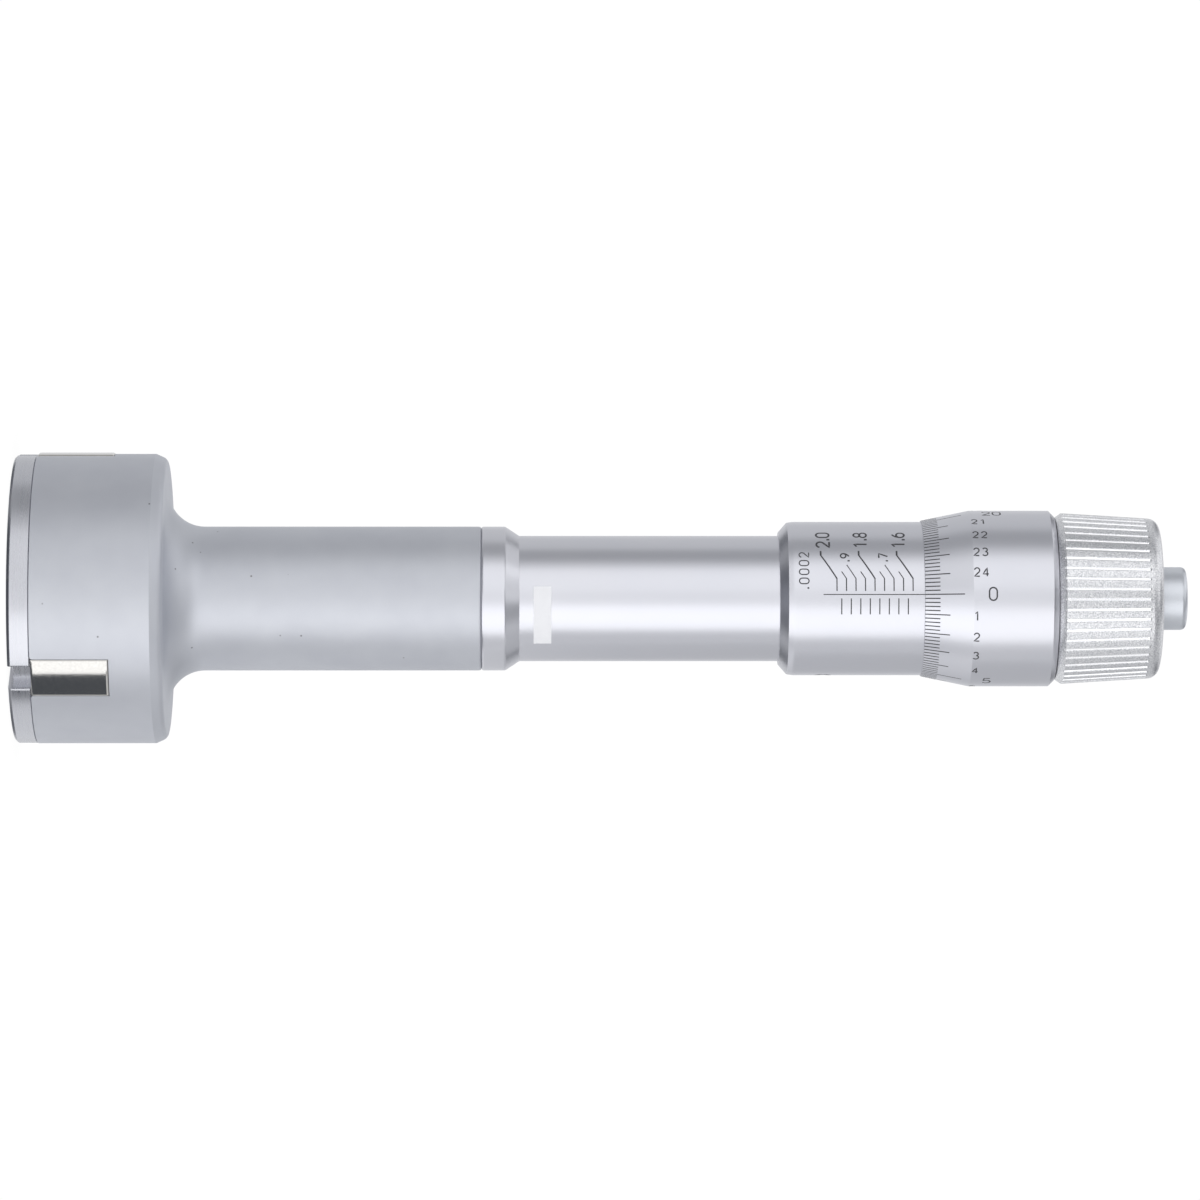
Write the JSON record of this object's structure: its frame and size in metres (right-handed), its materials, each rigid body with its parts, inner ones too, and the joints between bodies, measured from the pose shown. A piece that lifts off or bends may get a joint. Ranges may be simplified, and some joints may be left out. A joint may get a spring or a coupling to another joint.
{
  "type": "inside micrometer",
  "caption": "Three-point inside micrometer: a graduated thimble and ratchet knob feed a cone that drives radial anvils out of a round head on a long neck.",
  "frame": {"origin": "centre of the nose plate's face, at the base of the instrument as it stands on its head", "axes": "+Z along the spindle from the nose plate to the ratchet knob; -Y towards the index line of the scale sleeve; +X towards the sleeve's spanner hole"},
  "size_m": [0.0392, 0.039, 0.1576],
  "materials": {
    "head_satin": "light grey satin, fine even grain",
    "ground_steel": "ground and lightly nicked",
    "screw_steel": "turned",
    "lapped_steel": "lapped to a mirror",
    "spring_steel": "drawn wire",
    "inner_steel": "turned and hardened",
    "bronze": "turned",
    "satin_chrome": "satin",
    "satin_chrome_engraved": "satin with black-filled graduations",
    "thimble_chrome_engraved": "satin with black-filled graduations",
    "frosted_chrome": "coarse frosted",
    "button_chrome": "satin",
    "white_film": "matte"
  },
  "bodies": {
    "head_frame": {"measuring_head": "head_satin", "nose_plate": "ground_steel", "nose_plate_screws": "screw_steel", "guide_bush": "bronze", "rod_key": "lapped_steel", "barrel": "satin_chrome", "adjusting_nut": "inner_steel", "blank_band": "white_film", "return_spring": "spring_steel", "anvil_spring_a": "spring_steel", "anvil_spring_b": "spring_steel", "anvil_spring_c": "spring_steel"},
    "scale_sleeve": {"scale_sleeve": "satin_chrome_engraved"},
    "cone_rod": {"measuring_cone": "lapped_steel", "push_rod": "inner_steel", "thrust_ball": "lapped_steel"},
    "thimble": {"spindle": "inner_steel", "thimble": "thimble_chrome_engraved", "ratchet_base": "inner_steel", "ratchet_screw": "button_chrome"},
    "ratchet_knob": {"ratchet_knob": "frosted_chrome", "ratchet_spring": "spring_steel"},
    "click_ring": {"click_ring": "inner_steel"},
    "anvil_a": {"anvil_a": "lapped_steel"},
    "anvil_b": {"anvil_b": "lapped_steel"},
    "anvil_c": {"anvil_c": "lapped_steel"}
  },
  "joints": [
    {"name": "spindle_feed", "type": "slide", "parent": "head_frame", "child": "cone_rod", "axis": [0, 0, -1], "range_m": [0, 0.01143], "deforming": ["return_spring"]},
    {"name": "thimble_turn", "type": "hinge", "parent": "cone_rod", "child": "thimble", "pos_m": [0, 0, 0.13], "axis": [0, 0, -1], "range_deg": [0, 6480]},
    {"name": "anvil_a_slide", "type": "slide", "parent": "head_frame", "child": "anvil_a", "axis": [0.5878, -0.809, 0], "range_m": [0, 0.00571], "deforming": ["anvil_spring_a"]},
    {"name": "anvil_b_slide", "type": "slide", "parent": "head_frame", "child": "anvil_b", "axis": [0.4067, 0.9135, 0], "range_m": [0, 0.00571], "deforming": ["anvil_spring_b"]},
    {"name": "anvil_c_slide", "type": "slide", "parent": "head_frame", "child": "anvil_c", "axis": [-0.9945, -0.1045, 0], "range_m": [0, 0.00571], "deforming": ["anvil_spring_c"]},
    {"name": "sleeve_zero", "type": "hinge", "parent": "head_frame", "child": "scale_sleeve", "pos_m": [0, 0, 0.115], "axis": [0, 0, -1], "range_deg": [-15, 15]},
    {"name": "knob_turn", "type": "hinge", "parent": "thimble", "child": "ratchet_knob", "pos_m": [0, 0, 0.147], "axis": [0, 0, -1], "continuous": true},
    {"name": "click_lift", "type": "slide", "parent": "ratchet_knob", "child": "click_ring", "axis": [0, 0, 1], "range_m": [0, 0.0006], "stiffness_N_per_m": 1500, "springref_m": -0.001, "deforming": ["ratchet_spring"]}
  ],
  "couplings": [
    {"joint": "thimble_turn", "follows": "spindle_feed", "rad_per_m": 9894.8},
    {"joint": "anvil_a_slide", "follows": "spindle_feed", "ratio": 0.5},
    {"joint": "anvil_b_slide", "follows": "spindle_feed", "ratio": 0.5},
    {"joint": "anvil_c_slide", "follows": "spindle_feed", "ratio": 0.5}
  ]
}
